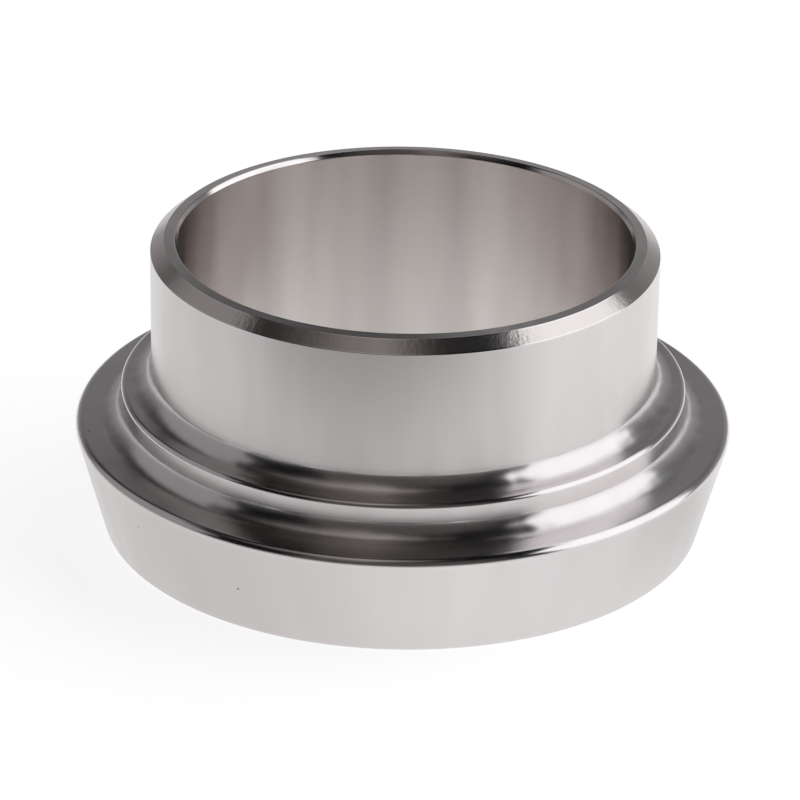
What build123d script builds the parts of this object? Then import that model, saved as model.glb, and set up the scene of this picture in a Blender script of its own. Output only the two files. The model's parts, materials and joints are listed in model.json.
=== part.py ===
from build123d import *
import math
import os

# Conical weld liner of a hygienic screwed pipe union, size DN 40: a short stainless steel
# sleeve turned in one piece. A tube is butt-welded to the bevelled end of its heavy barrel.
# The other end is a flange with a conical rim, which seats in the union's male part. A union
# nut slips over the barrel, is centred by the collar and presses on the back of the flange.
#
# Millimetres. The liner's axis is Z. The sealing face lies on Z = 0 with its centre at the
# origin, and the weld end points up.

# Lengths along the axis, from the sealing face
LENGTH = 25.6               # to the weld end
COLLAR_TOP = 12.5           # to the top of the nut's centring collar
FLANGE_TOP = 9.5            # to the shoulder that the nut presses on
WELD_BEVEL_HEIGHT = 1.0     # taken off the outer edge of the weld end

# Diameters
BORE_DIAMETER = 38.4
LAND_DIAMETER = 40.7        # outer edge of the flat land left on the weld end
BARREL_DIAMETER = 43.0
COLLAR_DIAMETER = 48.2
FLANGE_DIAMETER = 56.0      # across the rounded edge, the widest place

# Cone and edges
CONE_HALF_ANGLE = 15.0      # degrees from the axis; the cone widens upwards
STEP_FILLET = 1.7           # both hollow corners: barrel to collar, and collar to shoulder
COLLAR_EDGE_ROUND = 0.4
FLANGE_EDGE_ROUND = 0.6
SEAL_EDGE_ROUND = 0.3       # between the cone and the sealing face
WELD_BORE_BREAK = 0.25      # radial width of the break at the weld end's inner edge
WELD_BORE_BREAK_DEPTH = 0.35
SEAL_BORE_BREAK = 0.2       # 45 degree break at the sealing face's inner edge


def cone_radius(height):
    """Radius of the cone at a height, with its two edges taken as sharp."""
    slope = math.radians(CONE_HALF_ANGLE)
    widest_height = FLANGE_TOP - FLANGE_EDGE_ROUND
    widest_radius = FLANGE_DIAMETER / 2 + FLANGE_EDGE_ROUND * (1 / math.cos(slope) - 1)
    return widest_radius + (height - widest_height) * math.tan(slope)


def wall_profile():
    """Closed outline of the wall on one side of the axis, in the XZ plane."""
    bore = BORE_DIAMETER / 2
    barrel = BARREL_DIAMETER / 2
    collar = COLLAR_DIAMETER / 2
    corners = [             # radius, height, rounding of the corner (0 is sharp)
        (bore + SEAL_BORE_BREAK, 0, 0),
        (cone_radius(0), 0, SEAL_EDGE_ROUND),
        (cone_radius(FLANGE_TOP), FLANGE_TOP, FLANGE_EDGE_ROUND),
        (collar, FLANGE_TOP, STEP_FILLET),
        (collar, COLLAR_TOP, COLLAR_EDGE_ROUND),
        (barrel, COLLAR_TOP, STEP_FILLET),
        (barrel, LENGTH - WELD_BEVEL_HEIGHT, 0),
        (LAND_DIAMETER / 2, LENGTH, 0),
        (bore + WELD_BORE_BREAK, LENGTH, 0),
        (bore, LENGTH - WELD_BORE_BREAK_DEPTH, 0),
        (bore, SEAL_BORE_BREAK, 0),
    ]
    points = [(radius, 0, height) for radius, height, _ in corners]
    return FilletPolyline(*points, radius=[rounding for *_, rounding in corners], close=True)


def weld_liner():
    """The whole liner: its wall turned round the axis."""
    return revolve(make_face(wall_profile()), Axis.Z)


os.makedirs("parts", exist_ok=True)
export_step(weld_liner(), "parts/weld_liner.step")
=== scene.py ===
import json
import math

import bpy
from mathutils import Matrix, Vector


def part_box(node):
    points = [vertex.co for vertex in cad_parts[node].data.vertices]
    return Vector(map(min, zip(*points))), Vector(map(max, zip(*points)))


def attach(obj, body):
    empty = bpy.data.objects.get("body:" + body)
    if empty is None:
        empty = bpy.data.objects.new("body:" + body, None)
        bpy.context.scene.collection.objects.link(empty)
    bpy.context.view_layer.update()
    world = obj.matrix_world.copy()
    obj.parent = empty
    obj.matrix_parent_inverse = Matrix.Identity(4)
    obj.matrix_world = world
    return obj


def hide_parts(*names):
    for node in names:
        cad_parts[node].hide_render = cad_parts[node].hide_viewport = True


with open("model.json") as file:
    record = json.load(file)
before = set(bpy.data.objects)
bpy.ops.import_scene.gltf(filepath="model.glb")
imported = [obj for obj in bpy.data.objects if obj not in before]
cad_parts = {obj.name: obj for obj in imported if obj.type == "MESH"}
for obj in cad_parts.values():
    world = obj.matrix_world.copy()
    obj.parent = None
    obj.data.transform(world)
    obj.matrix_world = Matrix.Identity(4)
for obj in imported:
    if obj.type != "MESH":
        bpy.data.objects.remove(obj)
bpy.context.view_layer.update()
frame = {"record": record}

bl_info = {
    "name": "Conical weld liner",
    "version": (1, 0, 0),
    "blender": (4, 5, 0),
    "location": "View3D > Sidebar > Weld Liner",
    "description": "Turns the weld liner of a hygienic pipe union and sets it in a studio",
    "category": "Add Mesh",
}

NODE = "weld_liner"
BODY = "root"
MM = 0.001

node_low, node_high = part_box(NODE)
mount = {m["name"]: m for m in frame["record"]["mounts"]}


# ---------------------------------------------------------------- settings


def length_setting(name, description, default):
    """A size in metres that the sidebar shows in the scene's length unit."""
    return bpy.props.FloatProperty(
        name=name, description=description, default=default,
        min=0, precision=5, unit="LENGTH", subtype="DISTANCE",
    )


def factor_setting(name, description, default):
    """A share from 0 to 1."""
    return bpy.props.FloatProperty(
        name=name, description=description, default=default, min=0, max=1, subtype="FACTOR",
    )


def colour_setting(name, description, default):
    """A linear colour."""
    return bpy.props.FloatVectorProperty(
        name=name, description=description, default=default,
        size=3, min=0, max=1, subtype="COLOR",
    )


class LinerSizes(bpy.types.PropertyGroup):
    """Turned sizes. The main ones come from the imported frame."""

    length: length_setting(
        "Length", "From the sealing face to the weld end", node_high[2])
    flange_diameter: length_setting(
        "Flange Diameter", "Widest place of the cone-rimmed flange", node_high[0] - node_low[0])
    flange_top: length_setting(
        "Flange Top", "Height of the shoulder that the nut presses on",
        mount["nut_shoulder"]["pos_m"][2])
    bore_diameter: length_setting(
        "Bore Diameter", "Bore of the whole liner", 2 * MM * mount["flow_bore"]["dims"]["r_mm"])
    barrel_diameter: length_setting(
        "Barrel Diameter", "Outside of the heavy barrel",
        2 * MM * mount["nut_barrel"]["dims"]["r_mm"])
    collar_diameter: length_setting(
        "Collar Diameter", "Outside of the collar that centres the nut",
        2 * MM * mount["nut_collar"]["dims"]["r_mm"])
    collar_top: length_setting("Collar Top", "Height of the collar's step", 12.5 * MM)
    face_crown: length_setting(
        "Face Crown", "Fall of the shoulder from the collar to the flange's edge", 0.10 * MM)
    land_crown: length_setting(
        "Land Crown", "Fall of the flat weld end from its inner to its outer edge", 0.07 * MM)
    land_diameter: length_setting("Land Diameter", "Outer edge of the flat weld end", 40.7 * MM)
    weld_bevel: length_setting("Weld Bevel", "Height of the bevel at the weld end", 1.0 * MM)
    step_fillet: length_setting("Step Fillet", "Radius of both hollow corners", 1.7 * MM)
    barrel_kink: bpy.props.FloatProperty(
        name="Barrel Kink", description="Angle at which the upper fillet meets the barrel",
        default=math.radians(13), subtype="ANGLE")
    collar_kink: bpy.props.FloatProperty(
        name="Collar Kink", description="Angle at which the lower fillet meets the collar",
        default=math.radians(15), subtype="ANGLE")
    collar_round: length_setting("Collar Round", "Radius of the collar's edge", 0.4 * MM)
    flange_round: length_setting("Flange Round", "Radius of the flange's edge", 0.6 * MM)
    seal_round: length_setting("Seal Round", "Radius between cone and sealing face", 0.3 * MM)
    bore_break_width: length_setting(
        "Bore Break Width", "Edge break of the bore at the weld end", 0.25 * MM)
    bore_break_depth: length_setting(
        "Bore Break Depth", "Depth of that edge break", 0.35 * MM)
    seal_break: length_setting(
        "Seal Bore Break", "Edge break of the bore at the sealing face", 0.2 * MM)
    fine_edge: length_setting(
        "Fine Edge", "Tiny radius that polishing leaves on each sharp edge", 0.07 * MM)
    cone_angle: bpy.props.FloatProperty(
        name="Cone Half Angle", description="Angle of the cone from the axis",
        default=math.radians(15), min=0, max=math.radians(60), subtype="ANGLE")
    turns: bpy.props.IntProperty(
        name="Segments", description="Facets round the axis", default=384, min=24, max=720)


class SteelFinish(bpy.types.PropertyGroup):
    """Colour and finish of the satin polished steel."""

    colour: colour_setting("Steel Colour", "Reflected colour of clean steel", (0.660, 0.630, 0.632))
    bore_colour: colour_setting(
        "Bore Colour", "Reflected colour of the less polished bore", (0.745, 0.708, 0.690))
    bore_limit: length_setting(
        "Bore Limit", "Radius inside which the steel has the bore's finish", 19.25 * MM)
    bore_blend: length_setting(
        "Bore Blend", "Width over which the bore's finish fades out beyond that", 0.2 * MM)
    band_colour: colour_setting(
        "Band Colour", "Tone towards which the faint bands along the bore go",
        (0.56, 0.515, 0.505))
    band_share: factor_setting("Band Share", "How far the darkest band goes towards it", 0.8)
    stain: colour_setting(
        "Stain Colour", "Colour of dried water streaks and of the duller raw cut",
        (0.50, 0.46, 0.43))
    stain_share: factor_setting("Stain Share", "Strength of the water streaks", 0.25)
    cut_share: factor_setting("Cut Share", "How far a raw cut goes towards that colour", 0.5)
    speck: colour_setting("Speck Colour", "Colour of the few dark specks", (0.08, 0.07, 0.06))
    speck_share: factor_setting("Speck Share", "Strength of the specks", 0.75)
    satin_roughness: factor_setting(
        "Satin Roughness", "Roughness of the barrel, the cone and the bore", 0.24)
    bright_roughness: factor_setting(
        "Bright Roughness", "Roughness of fully polished edges", 0.15)
    wipe_roughness: factor_setting(
        "Wipe Roughness", "Change in roughness from one wipe mark to another", 0.05)
    streak_roughness: factor_setting(
        "Streak Roughness", "Roughness that a water streak adds", 0.01)
    turning_pitch: length_setting(
        "Turning Pitch", "Typical spacing of the turning marks", 0.25 * MM)
    turning_depth: length_setting(
        "Turning Depth", "Height of the turning marks", 0.0006 * MM)
    chatter_depth: length_setting(
        "Chatter Depth", "Height of the tool chatter on the weld bevel", 0.012 * MM)
    lobe_depth: length_setting(
        "Lobe Depth", "Height of the slow lobes round the outer walls", 0.03 * MM)
    bore_lobe_depth: length_setting(
        "Bore Lobe Depth", "Height of the slow lobes round the bore", 0.16 * MM)
    wave_depth: length_setting(
        "Wave Depth", "Height of the hand-polished waves in the fillets", 0.06 * MM)


class StudioSettings(bpy.types.PropertyGroup):
    """Floor, light and camera."""

    floor_colour: colour_setting("Floor Colour", "Matt part of the white floor", (0.45, 0.45, 0.45))
    floor_size: length_setting("Floor Size", "Side of the square floor", 1.4)
    floor_gap: length_setting(
        "Floor Gap", "Hair that keeps the floor and the sealing face from coinciding", 0.01 * MM)
    floor_glow: factor_setting(
        "Floor Glow", "Part of the floor's white that does not depend on the light", 0.84)
    # The next settings paint light and shade into a floor glow that only the steel's reflections
    # see: a painted lit sheet that fades out past its front and left edges
    sheet_glow: factor_setting(
        "Sheet Glow", "Brightness of the lit sheet round the liner, as the steel mirrors it", 0.84)
    # Painted light: that glow brightens towards the right, where the softbox is
    painted_light_slant: factor_setting(
        "Sheet Slant", "How much brighter the sheet is at the slant's reach to the right", 0.12)
    slant_reach: length_setting(
        "Slant Reach", "Distance to the right and to the left where the slant ends", 0.1)
    table_glow: factor_setting(
        "Table Glow", "Brightness of the table beyond the sheet, as the steel mirrors it", 0.08)
    front_edge: length_setting(
        "Front Edge", "From the axis to the middle of the sheet's soft front edge", 0.0655)
    front_softness: length_setting("Front Softness", "Half width of that edge", 0.02)
    front_edge_angle: bpy.props.FloatProperty(
        name="Front Edge Angle", description="Turn of that edge about the axis",
        default=math.radians(16), subtype="ANGLE")
    left_edge: length_setting(
        "Left Edge", "From the axis to the middle of the sheet's soft left edge", 0.137)
    left_softness: length_setting("Left Softness", "Half width of that edge", 0.024)
    left_edge_angle: bpy.props.FloatProperty(
        name="Left Edge Angle", description="Turn of that edge about the axis",
        default=math.radians(88.9), subtype="ANGLE")
    # Painted light and painted shade in the floor's glossy glow at the liner's foot
    painted_foot_glow: factor_setting(
        "Foot Glow", "How much brighter the sheet is at the liner's front foot", 0.12)
    painted_foot_shade: factor_setting(
        "Foot Shade", "How much darker it is at the liner's right foot", 0.22)
    room: bpy.props.FloatProperty(
        name="Room", description="Light from the dark room between the panels",
        default=0.005, min=0)
    softbox: bpy.props.FloatProperty(
        name="Softbox", description="Radiance of the large softbox on the right",
        default=1.46, min=0)
    lens: bpy.props.FloatProperty(
        name="Lens", description="Focal length in millimetres", default=202.0, min=1)
    distance: length_setting("Camera Distance", "From the camera to its target", 0.3845)
    elevation: bpy.props.FloatProperty(
        name="Camera Elevation", description="Angle above the floor",
        default=math.radians(25.44), subtype="ANGLE")
    roll: bpy.props.FloatProperty(
        name="Camera Roll", description="Turn about the line of sight",
        default=math.radians(0.89), subtype="ANGLE")
    target: bpy.props.FloatVectorProperty(
        name="Camera Target", description="Point in the middle of the view",
        default=(-0.00026, 0.0, 0.010415), size=3, subtype="TRANSLATION", unit="LENGTH")


# ---------------------------------------------------------------- node trees


class NodeBench:
    """Short calls for building a node tree in reading order."""

    def __init__(self, tree):
        self.tree = tree
        tree.nodes.clear()

    def add(self, kind, inputs=None, **settings):
        """A node with its settings, and its inputs given as values or as other sockets."""
        node = self.tree.nodes.new(kind)
        for key, value in settings.items():
            setattr(node, key, value)
        for key, value in (inputs or {}).items():
            if isinstance(value, bpy.types.NodeSocket):
                self.tree.links.new(value, node.inputs[key])
            else:
                node.inputs[key].default_value = value
        return node

    def math(self, operation, first, second=0.0, third=0.0, clamp=False):
        node = self.add("ShaderNodeMath", {0: first, 1: second, 2: third},
                        operation=operation, use_clamp=clamp)
        return node.outputs[0]

    def smooth(self, value, low, high, to_low=0.0, to_high=1.0, curve="SMOOTHSTEP"):
        """Goes from to_low to to_high as value goes from low to high, and stays there beyond."""
        node = self.add(
            "ShaderNodeMapRange",
            {"Value": value, "From Min": low, "From Max": high,
             "To Min": to_low, "To Max": to_high},
            interpolation_type=curve)
        return node.outputs["Result"]

    def blend(self, share, first, second):
        """Mixes two colours, each a setting or another socket."""
        first, second = [
            c if isinstance(c, bpy.types.NodeSocket) else (*c, 1) for c in (first, second)]
        node = self.add(
            "ShaderNodeMix", {"Factor": share, "A": first, "B": second}, data_type="RGBA")
        return node.outputs["Result"]

    def noise(self, vector, scale, detail=2.0, roughness=0.5):
        node = self.add(
            "ShaderNodeTexNoise",
            {"Vector": vector, "Scale": scale, "Detail": detail, "Roughness": roughness})
        return node.outputs["Fac"]


# ---------------------------------------------------------------- turned body


# How each finish looks, from 0 to 1: (polish, waves left by hand polishing, marks of a raw cut).
FINISHES = {
    "satin": (0.0, 0.0, 0.0),
    "faced": (0.1, 0.2, 0.0),
    "hollow": (0.25, 1.0, 0.0),
    "edge": (0.8, 0.4, 0.0),
    "ground": (0.6, 0.2, 0.0),
    "flat": (1.0, 0.0, 0.0),
    "cut": (0.0, 0.0, 1.0),
}


def rounded_outline(corners, arc_step=math.radians(6), run_step=2 * MM, finish_margin=0.12 * MM):
    """Rings of a closed outline: (radius, height, normal radius, normal height, finish).

    A corner is (radius, height, rounding, finish of its arc, finish of the run after it), and
    the corners run anticlockwise. Every corner is rounded, so every ring has one true normal,
    and a run changes to its own finish within the margin at each end.
    """
    arcs = []
    for i, (radius, height, rounding, *_) in enumerate(corners):
        here = Vector((radius, height))
        before = (here - Vector(corners[i - 1][:2])).normalized()
        after = (Vector(corners[(i + 1) % len(corners)][:2]) - here).normalized()
        turn = math.atan2(before.x * after.y - before.y * after.x, before.dot(after))
        reach = rounding * math.tan(abs(turn) / 2)
        side = math.copysign(rounding, turn)
        first_normal = Vector((before.y, -before.x))
        centre = here - before * reach - first_normal * side
        steps = max(3, math.ceil(abs(turn) / arc_step))
        normals = [Matrix.Rotation(turn * k / steps, 2) @ first_normal for k in range(steps + 1)]
        arcs.append([(centre + normal * side, normal) for normal in normals])
    rings = []
    for i, (*_, arc_finish, run_finish) in enumerate(corners):
        rings += [(*point, *normal, arc_finish) for point, normal in arcs[i]]
        start, normal = arcs[i][-1]
        run = arcs[(i + 1) % len(corners)][0][0] - start
        parts = max(1, math.ceil(run.length / run_step))
        shares = [k / parts for k in range(1, parts)]
        margin = min(finish_margin / run.length, 0.25)
        for share in (margin, *shares, 1 - margin):
            rings.append((*(start + run * share), *normal, run_finish))
    return rings


def kinked_fillet(wall, floor, rounding, kink, fine, finish, wall_finish):
    """Two corners of a hollow fillet that meets the wall above it at a slight angle."""
    rise = rounding * (1 - math.sin(kink))
    return [
        (wall + rise * math.tan(kink), floor, rounding, finish, finish),
        (wall, floor + rise, fine, finish, wall_finish),
    ]


def liner_corners(sizes):
    """Corners of the liner's wall, anticlockwise from the sealing face's inner edge."""
    bore = sizes.bore_diameter / 2
    barrel = sizes.barrel_diameter / 2
    collar = sizes.collar_diameter / 2
    # The flange's round is widest at the flange diameter, so its sharp corner lies outside
    flange = sizes.flange_diameter / 2
    fall = math.atan(sizes.face_crown / (flange - collar))
    overhang = (math.sin(sizes.cone_angle) + math.cos(fall)) / math.cos(sizes.cone_angle - fall) - 1
    flange_corner = flange + sizes.flange_round * overhang
    rim_top = sizes.flange_top - sizes.face_crown
    seal_corner = flange_corner - rim_top * math.tan(sizes.cone_angle)
    fine = sizes.fine_edge
    return [
        (bore + sizes.seal_break, 0, fine, "edge", "faced"),
        (seal_corner, 0, sizes.seal_round, "edge", "satin"),
        (flange_corner, rim_top, sizes.flange_round, "edge", "faced"),
        *kinked_fillet(collar, sizes.flange_top, sizes.step_fillet, sizes.collar_kink,
                       fine, "hollow", "ground"),
        (collar, sizes.collar_top, sizes.collar_round, "edge", "faced"),
        *kinked_fillet(barrel, sizes.collar_top, sizes.step_fillet, sizes.barrel_kink,
                       fine, "hollow", "satin"),
        (barrel, sizes.length - sizes.weld_bevel, fine, "flat", "cut"),
        (sizes.land_diameter / 2, sizes.length - sizes.land_crown, fine, "flat", "flat"),
        (bore + sizes.bore_break_width, sizes.length, 2 * fine, "edge", "edge"),
        (bore, sizes.length - sizes.bore_break_depth, 2 * fine, "edge", "satin"),
        (bore, sizes.seal_break, fine, "faced", "faced"),
    ]


def turned_mesh(name, rings, segments):
    """Mesh of an outline turned round the Z axis, with true normals, a UV map and its finish."""
    count = len(rings)
    vertices, normals = [], []
    for k in range(segments):
        angle = 2 * math.pi * k / segments
        across, along = math.cos(angle), math.sin(angle)
        for radius, height, normal_radius, normal_height, _ in rings:
            vertices.append((radius * across, radius * along, height))
            normals.append((normal_radius * across, normal_radius * along, normal_height))
    lengths = [0.0]
    for i in range(count):
        step = Vector(rings[(i + 1) % count][:2]) - Vector(rings[i][:2])
        lengths.append(lengths[-1] + step.length)
    faces, corner_uvs = [], []
    for k in range(segments):
        here, there = k * count, ((k + 1) % segments) * count
        left, right = k / segments, (k + 1) / segments
        for i in range(count):
            j = (i + 1) % count
            faces.append((here + i, there + i, there + j, here + j))
            low, high = lengths[i] / lengths[-1], lengths[i + 1] / lengths[-1]
            corner_uvs += [left, low, right, low, right, high, left, high]
    mesh = bpy.data.meshes.new(name)
    mesh.from_pydata(vertices, [], faces)
    mesh.uv_layers.new(name="turned").data.foreach_set("uv", corner_uvs)
    for place, attribute in enumerate(("polish", "hand", "cut")):
        values = [FINISHES[ring[4]][place] for ring in rings] * segments
        mesh.attributes.new(attribute, "FLOAT", "POINT").data.foreach_set("value", values)
    mesh.polygons.foreach_set("use_smooth", [True] * len(faces))
    mesh.normals_split_custom_set_from_vertices(normals)
    mesh.update()
    return mesh


# Specks: cells per metre, soft edge of a speck in cells, and the draw above which a cell has one.
SPECK_CELLS = 230.0
SPECK_EDGE = (0.018, 0.035)
SPECK_CHANCE = (0.70, 0.72)


def steel_material(finish):
    """Satin stainless steel: turning grain, hand-polished waves, water marks and specks."""
    material = bpy.data.materials.new("satin_stainless_steel")
    material.use_nodes = True
    bench = NodeBench(material.node_tree)
    place = bench.add("ShaderNodeTexCoord").outputs["Object"]
    x, y, z = bench.add("ShaderNodeSeparateXYZ", {0: place}).outputs
    radius = bench.math("SQRT", bench.math("MULTIPLY_ADD", x, x, bench.math("MULTIPLY", y, y)))
    round_x = bench.math("DIVIDE", x, radius)
    round_y = bench.math("DIVIDE", y, radius)
    along = bench.math("SUBTRACT", z, radius)
    polish = bench.add("ShaderNodeAttribute", attribute_name="polish").outputs["Fac"]
    hand = bench.add("ShaderNodeAttribute", attribute_name="hand").outputs["Fac"]
    cut = bench.add("ShaderNodeAttribute", attribute_name="cut").outputs["Fac"]
    inside = bench.smooth(
        radius, finish.bore_limit, finish.bore_limit + finish.bore_blend, 1.0, 0.0)

    def lathe_noise(per_turn, per_metre, **details):
        """Noise about 0 that changes per_turn times round the part, per_metre along its wall."""
        vector = bench.add("ShaderNodeCombineXYZ", {
            0: bench.math("MULTIPLY", round_x, per_turn / math.tau),
            1: bench.math("MULTIPLY", round_y, per_turn / math.tau),
            2: bench.math("MULTIPLY", along, per_metre)}).outputs[0]
        return bench.math("SUBTRACT", bench.noise(vector, 1.0, **details), 0.5)

    grain = lathe_noise(12, 1 / finish.turning_pitch, detail=2.0, roughness=0.6)
    chatter = lathe_noise(320, 1500, detail=2.0, roughness=0.65)
    wipes = lathe_noise(70, 60, detail=2.0)
    lobes = lathe_noise(20, 7, detail=1.0)
    waves = lathe_noise(50, 330, detail=1.0)
    streaks = bench.smooth(lathe_noise(60, 90, detail=1.0), -0.4, 0.4, curve="LINEAR")

    # Faint bands in the bore, dried water streaks, the duller raw cut and a few dark specks
    bands = bench.math("MULTIPLY", inside, bench.smooth(lobes, -0.2, 0.2, finish.band_share, 0.0))
    stains = bench.math("MULTIPLY", streaks, finish.stain_share)
    colour = bench.blend(inside, finish.colour, finish.bore_colour)
    colour = bench.blend(bands, colour, finish.band_colour)
    colour = bench.blend(stains, colour, finish.stain)
    colour = bench.blend(bench.math("MULTIPLY", cut, finish.cut_share), colour, finish.stain)
    cells = bench.add(
        "ShaderNodeTexVoronoi", {"Vector": place, "Scale": SPECK_CELLS}, feature="F1").outputs
    spot = bench.smooth(cells["Distance"], *SPECK_EDGE, finish.speck_share, 0.0)
    chance = bench.add("ShaderNodeSeparateXYZ", {0: cells["Color"]}).outputs[0]
    chosen = bench.smooth(chance, *SPECK_CHANCE)
    colour = bench.blend(bench.math("MULTIPLY", spot, chosen), colour, finish.speck)

    rough = bench.smooth(
        polish, 0, 1, finish.satin_roughness, finish.bright_roughness, "LINEAR")
    rough = bench.math("MULTIPLY_ADD", wipes, finish.wipe_roughness, rough)
    rough = bench.math("MULTIPLY_ADD", streaks, finish.streak_roughness, rough)

    lobe_depth = bench.smooth(inside, 0, 1, finish.lobe_depth, finish.bore_lobe_depth, "LINEAR")
    height = bench.math("MULTIPLY", grain, finish.turning_depth)
    height = bench.math("MULTIPLY_ADD", lobes, lobe_depth, height)
    height = bench.math("MULTIPLY_ADD", waves, bench.math(
        "MULTIPLY", hand, finish.wave_depth), height)
    height = bench.math("MULTIPLY_ADD", chatter, bench.math(
        "MULTIPLY", cut, finish.chatter_depth), height)
    bump = bench.add("ShaderNodeBump", {
        "Strength": 1.0, "Distance": 1.0, "Height": height}).outputs["Normal"]
    tangent = bench.add("ShaderNodeTangent", direction_type="RADIAL", axis="Z").outputs[0]
    shader = bench.add("ShaderNodeBsdfPrincipled", {
        "Base Color": colour, "Metallic": 1.0, "Roughness": rough, "Normal": bump,
        "Anisotropic": 0.9, "Anisotropic Rotation": 0.25, "Tangent": tangent})
    bench.add("ShaderNodeOutputMaterial", {"Surface": shader.outputs[0]})
    return material


class WELDLINER_OT_turn_liner(bpy.types.Operator):
    """Turn the liner's body from its outline and give it its steel"""

    bl_idname = "weld_liner.turn_liner"
    bl_label = "Turn Liner"

    def execute(self, context):
        sizes = context.scene.liner_sizes
        rings = rounded_outline(liner_corners(sizes))
        mesh = turned_mesh("turned_liner", rings, sizes.turns)
        mesh.materials.append(steel_material(context.scene.steel_finish))
        liner = bpy.data.objects.new("turned_liner", mesh)
        context.collection.objects.link(liner)
        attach(liner, BODY)
        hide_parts(NODE)
        return {"FINISHED"}


# ---------------------------------------------------------------- stage


def facing(azimuth, elevation):
    """Direction seen from the liner: azimuth 0 is the camera's side and 90 its right."""
    turn, rise = math.radians(azimuth), math.radians(elevation)
    return (math.sin(turn) * math.cos(rise), -math.cos(turn) * math.cos(rise), math.sin(rise))


# Light panels round the liner. Each is bounded by straight edges as seen from the liner, and an
# edge is named by the direction that its inner side faces: (azimuth, elevation, softness).
SOFTBOX = (0.985, 1.0, 1.02)
WALLS = (1.02, 1.0, 1.01)
CEILING = (1.06, 1.0, 0.98)
PANELS = {
    "softbox_right": (SOFTBOX, 1.05, [(145, 7, 0.06), (17, 27, 0.05), (116, -26, 0.03)]),
    "softbox_back": (SOFTBOX, 0.80, [(85, 0, 0.05), (-15, 50, 0.06), (165, -30, 0.06)]),
    "softbox_spill": (
        SOFTBOX, 0.12, [(145, 0, 0.06), (75, 4, 0.07), (90, 40, 0.10), (116, -28, 0.06)]),
    "card_left": (WALLS, 0.25, [(-160, -1, 0.08), (-40, 12, 0.15), (-132, -36, 0.06)]),
    "ceiling_strip": (CEILING, 0.30, [(-14, 0, 0.08), (-111, 7, 0.14), (99, 23, 0.34)]),
    "back_wall": (WALLS, 0.24, [(177, 0, 0.45), (164, -61, 0.32)]),
    "back_corner": (WALLS, 0.14, [(-48, 0, 0.15), (165, 0, 0.10), (-150, -50, 0.15)]),
    "front_left_wall": (CEILING, 0.06, [(54, 1, 0.10), (-52, -2, 0.25), (2, -30, 0.20)]),
}


def panel_light(bench, direction, strength, edges):
    """Radiance of one panel, falling off softly across each of its edges."""
    light = strength
    for azimuth, elevation, softness in edges:
        inner = bench.add(
            "ShaderNodeVectorMath", {0: direction, 1: facing(azimuth, elevation)},
            operation="DOT_PRODUCT").outputs["Value"]
        light = bench.math("MULTIPLY", light, bench.smooth(inner, -softness, softness))
    return light


def studio_world(studio):
    """Dark room with soft panels. The camera sees plain white behind the floor."""
    world = bpy.data.worlds.new("studio_room")
    world.use_nodes = True
    bench = NodeBench(world.node_tree)
    direction = bench.add("ShaderNodeTexCoord").outputs["Generated"]
    brightest = (studio.room,) * 3
    for tint, strength, edges in PANELS.values():
        light = panel_light(bench, direction, strength * studio.softbox, edges)
        colour = bench.add("ShaderNodeVectorMath", {"Vector": tint, "Scale": light},
                           operation="SCALE").outputs[0]
        brightest = bench.add("ShaderNodeVectorMath", {0: brightest, 1: colour},
                              operation="MAXIMUM").outputs[0]
    camera_ray = bench.add("ShaderNodeLightPath").outputs["Is Camera Ray"]
    seen = bench.blend(camera_ray, brightest, (1, 1, 1))
    background = bench.add("ShaderNodeBackground", {"Color": seen})
    bench.add("ShaderNodeOutputWorld", {"Surface": background.outputs[0]})
    return world


# Painted light and painted shade: soft round spots of glow on the floor near the liner's foot,
# which only the steel's reflections see: place on the floor and reach, in metres.
FRONT_FOOT_PAINTED_LIGHT = ((0.007, -0.031, 0), 0.022)
RIGHT_FOOT_PAINTED_SHADE = ((0.032, -0.007, 0), 0.018)


def sheet_edge(bench, x, y, angle, distance, softness):
    """Soft straight edge of the lit sheet's painted glow, from 0 outside it to 1 inside."""
    across = bench.math("MULTIPLY", x, math.sin(angle))
    inner = bench.math("MULTIPLY_ADD", y, math.cos(angle), across)
    return bench.smooth(inner, -distance - softness, -distance + softness)


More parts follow.
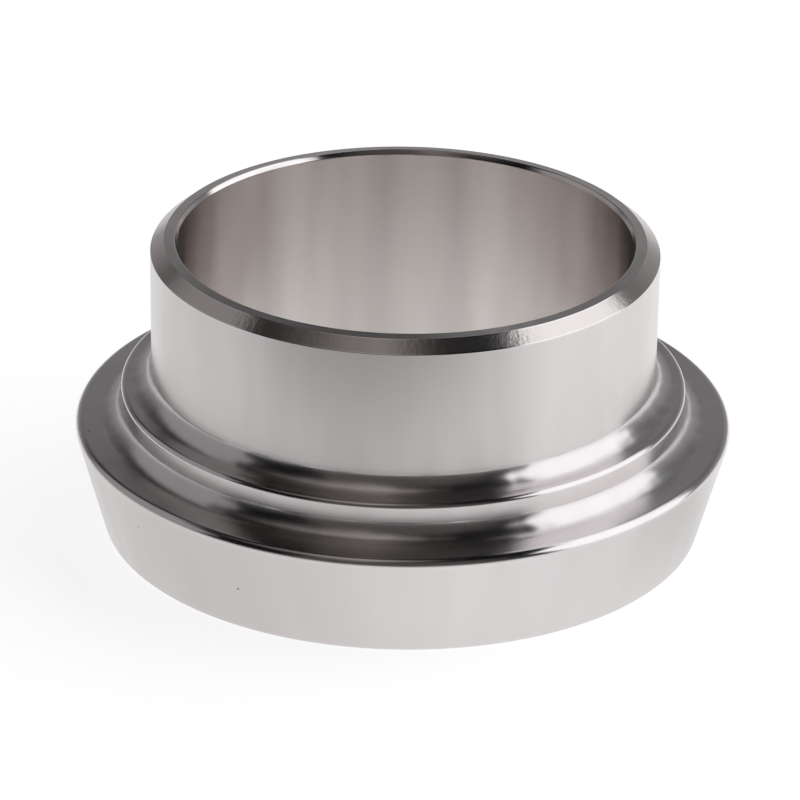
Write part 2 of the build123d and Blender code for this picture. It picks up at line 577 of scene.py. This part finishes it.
def floor_material(studio):
    """Matt white floor with a painted glow that only glossy rays see, so the steel mirrors a
    painted lit sheet that ends in front and on the left.

    That painted reflection is brighter to the right and has painted light and painted shade at the
    liner's foot; the camera sees an even white with the shadow.
    """
    material = bpy.data.materials.new("white_floor")
    material.use_nodes = True
    bench = NodeBench(material.node_tree)
    path = bench.add("ShaderNodeLightPath").outputs
    place = bench.add("ShaderNodeTexCoord").outputs["Object"]
    x, y, _ = bench.add("ShaderNodeSeparateXYZ", {0: place}).outputs
    # Painted reflection: the floor glows as a lit sheet for glossy rays, fading out past its front
    # and left edges
    sheet = bench.math(
        "MULTIPLY",
        sheet_edge(bench, x, y, studio.front_edge_angle, studio.front_edge, studio.front_softness),
        sheet_edge(bench, x, y, studio.left_edge_angle, studio.left_edge, studio.left_softness))
    # Painted light: the sheet's glow rises from left to right
    above_table = studio.sheet_glow - studio.table_glow
    slant = bench.smooth(
        x, -studio.slant_reach, studio.slant_reach,
        above_table - studio.painted_light_slant, above_table + studio.painted_light_slant, "LINEAR")
    painted_reflection_glow = bench.math("MULTIPLY_ADD", slant, sheet, studio.table_glow)
    # Painted light at the front foot and painted shade at the right foot, seen only in the steel
    for (spot, reach), change in (
        (FRONT_FOOT_PAINTED_LIGHT, studio.painted_foot_glow), (RIGHT_FOOT_PAINTED_SHADE, -studio.painted_foot_shade),
    ):
        away = bench.add("ShaderNodeVectorMath", {0: place, 1: spot},
                         operation="DISTANCE").outputs["Value"]
        painted_reflection_glow = bench.math("ADD", painted_reflection_glow, bench.smooth(away, 0, reach, change, 0))
    seen = bench.math("ADD", path["Is Camera Ray"], path["Is Transmission Ray"], clamp=True)
    strength = bench.math("MULTIPLY_ADD", seen, studio.floor_glow,
                          bench.math("MULTIPLY", painted_reflection_glow, path["Is Glossy Ray"]))
    glow = bench.add("ShaderNodeEmission", {"Color": (1, 1, 1, 1), "Strength": strength})
    matt = bench.add("ShaderNodeBsdfDiffuse", {"Color": (*studio.floor_colour, 1)})
    both = bench.add("ShaderNodeAddShader", {0: glow.outputs[0], 1: matt.outputs[0]})
    bench.add("ShaderNodeOutputMaterial", {"Surface": both.outputs[0]})
    return material


class WELDLINER_OT_set_stage(bpy.types.Operator):
    """Lay the floor, light the room and place the camera"""

    bl_idname = "weld_liner.set_stage"
    bl_label = "Set Stage"

    def execute(self, context):
        studio = context.scene.studio
        self.lay_floor(context, studio)
        context.scene.world = studio_world(studio)
        context.scene.view_settings.view_transform = "Standard"
        self.place_camera(context, studio)
        return {"FINISHED"}

    def lay_floor(self, context, studio):
        half = studio.floor_size / 2
        mesh = bpy.data.meshes.new("floor")
        mesh.from_pydata(
            [(-half, -half, 0), (half, -half, 0), (half, half, 0), (-half, half, 0)],
            [], [(0, 1, 2, 3)])
        mesh.materials.append(floor_material(studio))
        floor = bpy.data.objects.new("floor", mesh)
        floor.location.z = -studio.floor_gap
        context.collection.objects.link(floor)

    def place_camera(self, context, studio):
        back = Vector(facing(0, math.degrees(studio.elevation)))
        right = Vector((1, 0, 0))
        up = back.cross(right)
        level = Matrix((right, up, back)).transposed()
        turned = level @ Matrix.Rotation(studio.roll, 3, "Z")
        data = bpy.data.cameras.new("camera")
        data.lens = studio.lens
        data.clip_start = 0.01
        camera = bpy.data.objects.new("camera", data)
        place = Vector(studio.target) + back * studio.distance
        camera.matrix_world = Matrix.Translation(place) @ turned.to_4x4()
        context.collection.objects.link(camera)
        context.scene.camera = camera


# ---------------------------------------------------------------- sidebar


class WELDLINER_PT_sidebar(bpy.types.Panel):
    """Sizes, finish and studio of the weld liner"""

    bl_idname = "WELDLINER_PT_sidebar"
    bl_label = "Weld Liner"
    bl_space_type = "VIEW_3D"
    bl_region_type = "UI"
    bl_category = "Weld Liner"

    def draw(self, context):
        scene = context.scene
        for settings, operator in (
            (scene.liner_sizes, None),
            (scene.steel_finish, WELDLINER_OT_turn_liner.bl_idname),
            (scene.studio, WELDLINER_OT_set_stage.bl_idname),
        ):
            column = self.layout.column(align=True)
            for key in settings.bl_rna.properties.keys():
                if key not in ("rna_type", "name"):
                    column.prop(settings, key)
            if operator:
                column.operator(operator)


CLASSES = (
    LinerSizes,
    SteelFinish,
    StudioSettings,
    WELDLINER_OT_turn_liner,
    WELDLINER_OT_set_stage,
    WELDLINER_PT_sidebar,
)


def register():
    for cls in CLASSES:
        bpy.utils.register_class(cls)
    bpy.types.Scene.liner_sizes = bpy.props.PointerProperty(type=LinerSizes)
    bpy.types.Scene.steel_finish = bpy.props.PointerProperty(type=SteelFinish)
    bpy.types.Scene.studio = bpy.props.PointerProperty(type=StudioSettings)


def unregister():
    del bpy.types.Scene.studio
    del bpy.types.Scene.steel_finish
    del bpy.types.Scene.liner_sizes
    for cls in reversed(CLASSES):
        bpy.utils.unregister_class(cls)


def main():
    register()
    bpy.ops.weld_liner.turn_liner()
    bpy.ops.weld_liner.set_stage()


if __name__ == "__main__":
    main()
